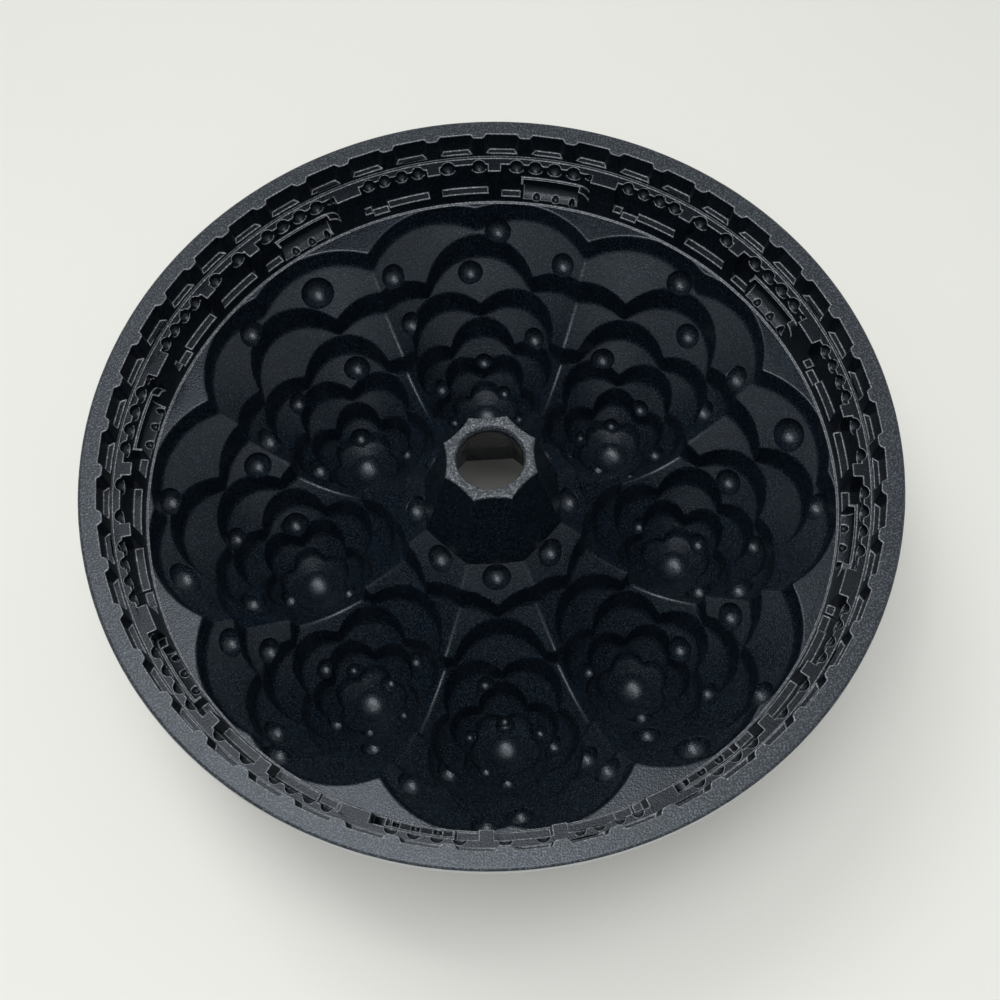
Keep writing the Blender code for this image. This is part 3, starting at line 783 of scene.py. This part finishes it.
def swept_cutter(start, end, section):
    """A cutter with this section, swept round the pan between two angles."""
    steps = max(1, math.ceil((end - start) / LONGEST_FACET - 0.001))
    rings = [[at(radius, start + (end - start) * step / steps, depth) for radius, depth in section]
             for step in range(steps + 1)]
    return new_object("cutter", loft(rings))


def sleeper_cutter(degrees):
    """A tapering block behind the flange's inner edge."""
    rings = []
    for side in (-1, 1):
        back, front, foot_back, foot_front = SLEEPER_CORNERS
        ring = [Vector((radius * MM, side * half * MM, height(depth * MM)))
                for half, radius, depth in (back, front, foot_front, foot_back)]
        rings.append([Matrix.Rotation(math.radians(degrees), 3, "Z") @ point for point in ring])
    return new_object("cutter", loft(rings))


def pocket_cutter(run):
    """A cutter with an upright back, whose floor follows the run."""
    (upper, high), (lower, low) = POCKET_BACK[1:]
    rings = []
    for (start, floor), (end, next_floor) in zip(run, run[1:]):
        steps = max(1, math.ceil((end - start) / LONGEST_FACET - 0.001))
        last = 1 if end == run[-1][0] else 0
        for step in range(steps + last):
            degrees = start + (end - start) * step / steps
            depth = floor + (next_floor - floor) * step / steps
            back = upper + (lower - upper) * (depth - high) / (low - high)
            section = POCKET_BACK[:2] + ((back, depth), (POCKET_FRONT, depth),
                                         (POCKET_FRONT, POCKET_BACK[0][1]))
            rings.append([at(radius, degrees, down) for radius, down in section])
    return new_object("cutter", loft(rings))


def boiler_cutter(start, end, radius, depth, size):
    turns = [math.tau * i / BOILER_FACETS for i in range(BOILER_FACETS)]
    return swept_cutter(start, end, [(radius + size * math.cos(turn), depth + size * math.sin(turn))
                                     for turn in turns])


def round_cutter(degrees, place, size):
    """A ball, drawn out by its reach along the pan's radius, its width and its height."""
    bm = bmesh.new()
    bmesh.ops.create_uvsphere(bm, u_segments=16, v_segments=8, radius=1)
    bmesh.ops.scale(bm, vec=Vector(size) * MM, verts=bm.verts)
    bmesh.ops.translate(bm, vec=(place[0] * MM, 0, height(place[1] * MM)), verts=bm.verts)
    bmesh.ops.rotate(bm, cent=(0, 0, 0), matrix=Matrix.Rotation(math.radians(degrees), 3, "Z"),
                     verts=bm.verts)
    return new_object("cutter", bm)


print(SLEEPERS, "sleepers,", len(POCKETS), "train pockets and", len(WHEELS), "wheels in a stretch")

# %% [markdown]
# A casting has no knife-sharp corner. The teeth's upright edges are rounded widely, then all other
# corners a little, and the faces that this second rounding makes are marked, so that those which face
# upwards can take a lighter coat, a painted highlight. The stretch is then repeated eight times and
# its ends are merged.
# One fault is left here. The rounding has no limit on overlap, and some corners of the train's pockets
# overshoot: they leave thin blades that rise as much as 5.5 mm above the ledge. How many there are, and
# the fine mesh of the wall, differ a little from run to run.

# %% Round the wall's corners and close the ring
CORNER_ROUND = 0.32 * MM
CORNER_RISE = 0.25
TOOTH_ROUND = 0.7 * MM
SHORTEST_EDGE = 0.06 * MM


def on_end_plane(vert):
    degrees = math.degrees(math.atan2(vert.co.y, vert.co.x))
    return min(abs(degrees - STRETCH_START), abs(degrees - STRETCH_END)) < 0.001


def corner_edges(bm, least, upright=False):
    """Edges whose two faces meet at more than this angle, away from the two end planes."""
    chosen = []
    for edge in bm.edges:
        if len(edge.link_faces) != 2 or edge.calc_face_angle() < math.radians(least):
            continue
        if on_end_plane(edge.verts[0]) and on_end_plane(edge.verts[1]):
            continue
        if upright:
            middle = (edge.verts[0].co + edge.verts[1].co) / 2
            run = edge.verts[1].co - edge.verts[0].co
            is_tooth = Vector(middle[:2]).length < (TOOTH_TOP + 0.5) * MM
            if not is_tooth or abs(run.z) < 0.8 * run.length or not edge.is_convex:
                continue
        chosen.append(edge)
    return chosen


def tidy(bm):
    bmesh.ops.remove_doubles(bm, verts=bm.verts, dist=SHORTEST_EDGE)
    bmesh.ops.dissolve_limit(bm, angle_limit=math.radians(0.1), verts=bm.verts, edges=bm.edges)


def bevel(bm, edges, offset, segments):
    return bmesh.ops.bevel(bm, geom=edges, offset=offset, offset_type="OFFSET", segments=segments,
                           profile=0.5, affect="EDGES", material=-1, clamp_overlap=False)["faces"]


def round_corners(obj, has_teeth):
    """Bevel the teeth's upright edges widely, then every other corner a little."""
    bm = bmesh_of(obj)
    corner = bm.faces.layers.int.new("corner")
    tidy(bm)
    if has_teeth:
        bevel(bm, corner_edges(bm, 40, upright=True), TOOTH_ROUND, 3)
        bmesh.ops.remove_doubles(bm, verts=bm.verts, dist=SHORTEST_EDGE)
    for face in bevel(bm, corner_edges(bm, 34), CORNER_ROUND, 2):
        face[corner] = 1
    bm.to_mesh(obj.data)
    bm.free()


def finish_corners(piece):
    """Give the rounded corners that face upwards a lighter coat: a painted highlight on each."""
    corner = piece.data.attributes["corner"]
    chosen = [item.value == 1 and face.normal.z > CORNER_RISE
              for item, face in zip(corner.data, piece.data.polygons)]
    piece.data.attributes.remove(corner)
    other_finish(piece, corner_painted_highlight_coat, lambda face: chosen[face.index])
    print(piece.name, sum(chosen), "corner faces")


def whole_ring(name, stretch, upper, lower):
    """Take the layer of the stretch between two depths and repeat it eight times into a closed ring."""
    bm = bmesh_of(stretch)
    for depth, side in ((upper, 1), (lower, -1)):
        cut = bmesh.ops.bisect_plane(bm, geom=bm.verts[:] + bm.edges[:] + bm.faces[:], dist=0.001 * MM,
                                     plane_co=(0, 0, height(depth * MM)), plane_no=(0, 0, side),
                                     clear_outer=True)["geom_cut"]
        edges = [item for item in cut if isinstance(item, bmesh.types.BMEdge)]
        if edges:
            bmesh.ops.triangle_fill(bm, edges=edges, use_beauty=True)
    ends = [face for face in bm.faces if all(on_end_plane(vert) for vert in face.verts)]
    bmesh.ops.delete(bm, geom=ends, context="FACES_ONLY")
    one = bm.verts[:] + bm.edges[:] + bm.faces[:]
    for copy in range(1, TREES):
        made = bmesh.ops.duplicate(bm, geom=one)["geom"]
        verts = [item for item in made if isinstance(item, bmesh.types.BMVert)]
        bmesh.ops.rotate(bm, cent=(0, 0, 0), matrix=Matrix.Rotation(PITCH * copy, 3, "Z"), verts=verts)
    bmesh.ops.remove_doubles(bm, verts=bm.verts, dist=0.005 * MM)
    print(name, "open edges", sum(1 for edge in bm.edges if len(edge.link_faces) != 2))
    return new_object(name, bm)


# %% Set the three wall pieces
FLANGE_SPLIT = 3.6
POCKET_REACH = 122.0 * MM
OUTER_EDGE = 126.4 * MM
POCKET_UPRIGHT = 0.5
EDGE_UPRIGHT = 0.35
TOP = -1.0
BOTTOM = 29.0
upper = upper_stretch()
round_corners(upper, has_teeth=True)
flange = whole_ring("rim_flange_piece", upper, TOP, FLANGE_SPLIT)
# The flange takes the lighter rim coat: painted light.
hold(flange, rim_coat, "rim_coat", "rim_flange")
# The flange's inner faces that don't face upwards take the pocket coat: painted shade.
other_finish(flange, pocket_coat_painted_shade,
             lambda face: face.normal.z < POCKET_UPRIGHT and face.center.xy.length < POCKET_REACH)
# The flange's upright outer faces take the bright metal: a painted highlight along the rim's outer edge.
other_finish(flange, edge_painted_highlight,
             lambda face: abs(face.normal.z) < EDGE_UPRIGHT and face.center.xy.length > OUTER_EDGE)
sleepers = whole_ring("sleeper_band_piece", upper, FLANGE_SPLIT, BOTTOM)
# The whole sleeper band takes the pocket coat: painted shade.
hold(sleepers, pocket_coat_painted_shade, "inner_coat", "sleeper_band")
lower = lower_stretch()
round_corners(lower, has_teeth=False)
train = whole_ring("train_band_piece", lower, TOP, BOTTOM)
# The whole train band takes the pocket coat: painted shade.
hold(train, pocket_coat_painted_shade, "inner_coat", "train_band")
for piece in (flange, sleepers, train):
    finish_corners(piece)
for piece in (upper, lower):
    bpy.data.objects.remove(piece, do_unlink=True)

# %% [markdown]
# The centre tube has eight faces, hollowed a little like flutes at the top and flat where they meet the
# cups, and a round hole through which the hot air rises. It is one closed form: a ring of edges is
# extruded down the outside, across the foot and back up the bore. The foot reaches deeper than the
# balls beside it, because their hollows open the cups' inner ends and the tube has to close them.

# %% Centre tube
PAINTED_LIGHT_DEPTH = 3.2 * MM
TUBE_SIDES = 8
SIDE_POINTS = 12
TUBE_TOP = 1.4
TOP_CORNER = 15.5
FOOT_CORNER = 23.7
FOOT_DEPTH = 34.5
TUBE_BOTTOM = 43.0
FLUTE = 0.7
FLANK_STEPS = 8
TUBE_WALL = 3.0
HOLE_RADIUS = 10.3
HOLE_EDGE = 11.3
HOLE_STRAIGHT = 4.8
TOP_ROUND = 0.7


def eight_sided(corner, flute, depth):
    """A ring of eight slightly hollow sides, given the radius of its corners in mm."""
    half = math.pi / TUBE_SIDES
    ring = []
    for side in range(TUBE_SIDES):
        turn = Matrix.Rotation(math.tau * side / TUBE_SIDES, 3, "Z")
        for step in range(SIDE_POINTS):
            share = 2 * step / SIDE_POINTS - 1
            across = corner * math.cos(half) - flute * (1 - share ** 2)
            along = corner * math.sin(half) * share
            ring.append(turn @ Vector((across * MM, along * MM, height(depth * MM))))
    return ring


def round_ring(radius, depth):
    count = TUBE_SIDES * SIDE_POINTS
    return [at(radius, 360 * (step + 0.5) / count - 180 / TUBE_SIDES, depth) for step in range(count)]


def tube():
    rings = []
    for step in range(ARC_STEPS + 1):
        swing = math.pi / 2 * step / ARC_STEPS
        rings.append(round_ring(HOLE_EDGE - (HOLE_EDGE - HOLE_RADIUS) * math.sin(swing),
                                HOLE_STRAIGHT - (HOLE_STRAIGHT - TUBE_TOP) * math.cos(swing)))
    rings.reverse()
    for step in range(ARC_STEPS + 1):
        swing = math.pi / 2 * step / ARC_STEPS
        rings.append(eight_sided(TOP_CORNER - TOP_ROUND * (1 - math.sin(swing)), FLUTE,
                                 TUBE_TOP + TOP_ROUND * (1 - math.cos(swing))))
    for step in range(1, FLANK_STEPS + 1):
        share = step / FLANK_STEPS
        rings.append(eight_sided(TOP_CORNER + (FOOT_CORNER - TOP_CORNER) * share, FLUTE * (1 - share),
                                 TUBE_TOP + TOP_ROUND + (FOOT_DEPTH - TUBE_TOP - TOP_ROUND) * share))
    rings.append(eight_sided(FOOT_CORNER, 0, TUBE_BOTTOM))
    rings.append(eight_sided(FOOT_CORNER - TUBE_WALL, 0, TUBE_BOTTOM))
    rings.append(eight_sided(FOOT_CORNER - TUBE_WALL, 0, FOOT_DEPTH))
    for step in range(1, 4):
        share = step / 4
        rings.append(eight_sided(FOOT_CORNER - TUBE_WALL + (HOLE_RADIUS + 1.5 - FOOT_CORNER + TUBE_WALL) * share,
                                 0, FOOT_DEPTH + (HOLE_STRAIGHT + 2 - FOOT_DEPTH) * share))
    return new_object("centre_tube_piece", loft(rings, ring_closed=True))


centre = tube()
check = bmesh_of(centre)
print("tube", len(check.faces), "faces,", sum(1 for e in check.edges if len(e.link_faces) != 2), "open edges")
check.free()
# The tube's flanks and bore take the darker cup coat: painted shade.
hold(centre, cup_coat_painted_shade, "rim_coat", "centre_tube")
# Faces near the tube's top take the paler coat: painted light.
other_finish(centre, tube_top_painted_light_coat, lambda face: face.center.z > height(PAINTED_LIGHT_DEPTH))

# %% [markdown]
# The pan stands on a plain pale table in a softly lit room. A soft lamp hangs above the near side, a
# second one above the left, which is mirrored in the flange's near left and makes it the lightest
# part, and a weak one above the camera reaches the floors of the far cups and, through the tube's
# hole, the table. Their walls stay nearly black.

# %% Table, lamp and room
TABLE_HALF = 1.5
ROOM_COLOUR = "E2E3DE"
ROOM_LIGHT = 0.45


def table_finish():
    """Matt painted board: almost even, with a faint cloudiness in its colour and gloss."""
    material = bpy.data.materials.new("matt_painted_board")
    material.use_nodes = True
    tree = material.node_tree
    shader = tree.nodes["Principled BSDF"]
    place = add_node(tree, "ShaderNodeTexCoord").outputs["Object"]
    cloud = add_node(tree, "ShaderNodeTexNoise", {"Vector": place}, Scale=6.0, Detail=4.0)
    colour = add_node(tree, "ShaderNodeValToRGB", {"Fac": cloud.outputs["Fac"]})
    colour.color_ramp.elements[0].color = linear("D9D9D4")
    colour.color_ramp.elements[1].color = linear("DDDDD8")
    tree.links.new(colour.outputs["Color"], shader.inputs["Base Color"])
    shader.inputs["Roughness"].default_value = 0.75
    shader.inputs["Specular IOR Level"].default_value = 0.2
    return material


def add_table():
    bm = bmesh.new()
    bmesh.ops.create_grid(bm, x_segments=1, y_segments=1, size=TABLE_HALF)
    floor = new_object("table", bm)
    floor.data.materials.append(table_finish())
    return floor


def add_lamp(name, place, size, power):
    data = bpy.data.lights.new(name, "AREA")
    data.energy = power
    data.size = size
    lamp = bpy.data.objects.new(name, data)
    lamp.matrix_world = Matrix.Translation(place) @ Vector(place).to_track_quat("Z", "Y").to_matrix().to_4x4()
    bpy.context.collection.objects.link(lamp)
    return lamp


def add_room():
    """A dim even room; the camera sees it as the pale background."""
    world = bpy.data.worlds.new("room")
    world.use_nodes = True
    tree = world.node_tree
    light = tree.nodes["Background"]
    light.inputs["Color"].default_value = linear("FFFFFF")
    light.inputs["Strength"].default_value = ROOM_LIGHT
    seen = add_node(tree, "ShaderNodeBackground", Color=linear(ROOM_COLOUR), Strength=1.0)
    path = add_node(tree, "ShaderNodeLightPath")
    seen_by = path.outputs["Is Camera Ray"]
    for ray in ("Is Glossy Ray", "Is Transmission Ray"):
        either = add_node(tree, "ShaderNodeMath", {0: seen_by, 1: path.outputs[ray]}, operation="MAXIMUM")
        seen_by = either.outputs["Value"]
    mix = add_node(tree, "ShaderNodeMixShader", {"Fac": seen_by})
    tree.links.new(light.outputs["Background"], mix.inputs[1])
    tree.links.new(seen.outputs["Background"], mix.inputs[2])
    tree.links.new(mix.outputs["Shader"], tree.nodes["World Output"].inputs["Surface"])
    bpy.context.scene.world = world


table = add_table()
add_lamp("window_light", (-0.06, -0.20, 1.20), 0.45, 6.8)
add_lamp("second_light", (-0.28, 0.20, 1.10), 0.36, 3.3)
add_lamp("fill_light", (0.02, -0.56, 1.22), 0.40, 2.4)
add_room()
bpy.context.scene.view_settings.view_transform = "Standard"
print("table at z", table.location.z)
